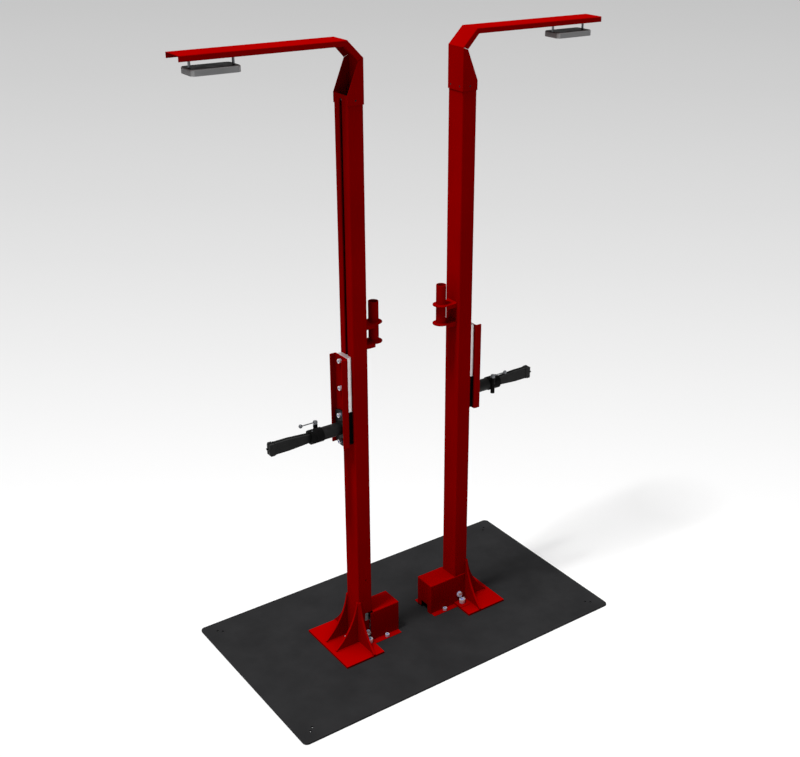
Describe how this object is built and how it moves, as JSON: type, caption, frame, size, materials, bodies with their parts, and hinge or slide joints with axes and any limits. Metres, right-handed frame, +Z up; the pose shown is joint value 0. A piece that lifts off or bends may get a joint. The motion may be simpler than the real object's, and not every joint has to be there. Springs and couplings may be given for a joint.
{
  "type": "two mast bicycle lift",
  "caption": "Motorised workshop lift with back to back masts on a base plate, each with a carriage, a swivelling jaw clamp, a tube holder and a lamp on a bent arm.",
  "frame": {"origin": "middle of the base plate's underside, on the floor", "axes": "+Z up, +X along the plate's long side towards one mast's clamp, +Y across the plate"},
  "size_m": [1.6, 0.8, 2.24],
  "materials": {
    "plate_grey": "fine matt powder coat",
    "red_coat": "smooth satin powder coat",
    "bolt_zinc": "bright zinc plating",
    "lamp_grey": "satin grey coat",
    "lens_white": "opal diffuser",
    "board_white": "white solder mask",
    "motor_grey": "cast, lightly blasted",
    "bearing_iron": "machined",
    "ground_steel": "ground and oiled",
    "coupling_alloy": "turned",
    "nut_bronze": "machined bronze",
    "slide_white": "machined plastic",
    "slide_black": "machined plastic",
    "clamp_black": "black phosphate and oil",
    "collar_black": "thick matt black coat",
    "pad_rubber": "matt",
    "screw_steel": "plain steel"
  },
  "bodies": {
    "stand": {"base_plate": "plate_grey", "gussets": "red_coat", "foot_bolts": "bolt_zinc", "mast_bolts": "bolt_zinc", "cover_screws": "bolt_zinc", "arm_screws": "clamp_black", "lamp_studs": "screw_steel", "led_boards": "board_white", "mast_tube_left": "red_coat", "foot_plate_left": "red_coat", "motor_cover_left": "red_coat", "gear_motor_left": "motor_grey", "screw_bearings_left": "bearing_iron", "socket_tube_left": "red_coat", "socket_flanges_left": "red_coat", "lamp_arm_left": "red_coat", "lamp_housing_left": "lamp_grey", "lamp_lens_left": "lens_white", "mast_tube_right": "red_coat", "foot_plate_right": "red_coat", "motor_cover_right": "red_coat", "gear_motor_right": "motor_grey", "screw_bearings_right": "bearing_iron", "socket_tube_right": "red_coat", "socket_flanges_right": "red_coat", "lamp_arm_right": "red_coat", "lamp_housing_right": "lamp_grey", "lamp_lens_right": "lens_white"},
    "left_screw": {"lead_screw_left": "ground_steel", "shaft_coupling_left": "coupling_alloy"},
    "left_carriage": {"drive_nut_left": "nut_bronze", "carriage_channel_left": "red_coat", "slide_block_left": "slide_white", "lower_block_left": "slide_black", "carriage_bolts_left": "bolt_zinc", "clamp_arm_left": "clamp_black"},
    "left_head": {"jaw_collar_left": "collar_black", "jaw_pin_left": "screw_steel", "fixed_jaw_left": "clamp_black", "fixed_pad_left": "pad_rubber"},
    "left_jaw": {"moving_jaw_left": "clamp_black", "moving_pad_left": "pad_rubber"},
    "left_pinch": {"pinch_screw_left": "screw_steel", "clamp_lever_left": "screw_steel"},
    "right_screw": {"lead_screw_right": "ground_steel", "shaft_coupling_right": "coupling_alloy"},
    "right_carriage": {"drive_nut_right": "nut_bronze", "carriage_channel_right": "red_coat", "slide_block_right": "slide_white", "lower_block_right": "slide_black", "carriage_bolts_right": "bolt_zinc", "clamp_arm_right": "clamp_black"},
    "right_head": {"jaw_collar_right": "collar_black", "jaw_pin_right": "screw_steel", "fixed_jaw_right": "clamp_black", "fixed_pad_right": "pad_rubber"},
    "right_jaw": {"moving_jaw_right": "clamp_black", "moving_pad_right": "pad_rubber"},
    "right_pinch": {"pinch_screw_right": "screw_steel", "clamp_lever_right": "screw_steel"}
  },
  "joints": [
    {"name": "left_lift", "type": "slide", "parent": "stand", "child": "left_carriage", "axis": [0, 0, 1], "range_m": [0, 0.85]},
    {"name": "left_screw_turn", "type": "hinge", "parent": "stand", "child": "left_screw", "pos_m": [-0.224, 0, 1], "axis": [0, 0, 1], "range_deg": [-15320, 20]},
    {"name": "left_head_swivel", "type": "hinge", "parent": "left_carriage", "child": "left_head", "pos_m": [-0.38, 0, 0.919], "axis": [-1, 0, 0], "continuous": true},
    {"name": "left_jaw_open", "type": "hinge", "parent": "left_head", "child": "left_jaw", "pos_m": [-0.4033, -0.006, 0.919], "axis": [0, 0, 1], "range_deg": [0, 14]},
    {"name": "left_pinch_turn", "type": "hinge", "parent": "left_head", "child": "left_pinch", "pos_m": [-0.3733, 0.023, 0.919], "axis": [0, 0, 1], "range_deg": [0, 360]},
    {"name": "right_lift", "type": "slide", "parent": "stand", "child": "right_carriage", "axis": [0, 0, 1], "range_m": [0, 0.85]},
    {"name": "right_screw_turn", "type": "hinge", "parent": "stand", "child": "right_screw", "pos_m": [0.224, 0, 1], "axis": [0, 0, 1], "range_deg": [-15320, 20]},
    {"name": "right_head_swivel", "type": "hinge", "parent": "right_carriage", "child": "right_head", "pos_m": [0.38, 0, 0.919], "axis": [1, 0, 0], "continuous": true},
    {"name": "right_jaw_open", "type": "hinge", "parent": "right_head", "child": "right_jaw", "pos_m": [0.4033, 0.006, 0.919], "axis": [0, 0, 1], "range_deg": [0, 14]},
    {"name": "right_pinch_turn", "type": "hinge", "parent": "right_head", "child": "right_pinch", "pos_m": [0.3733, -0.023, 0.919], "axis": [0, 0, 1], "range_deg": [0, 360]}
  ],
  "couplings": [
    {"joint": "left_screw_turn", "follows": "left_lift", "rad_per_m": -314.16},
    {"joint": "right_screw_turn", "follows": "right_lift", "rad_per_m": -314.16}
  ]
}
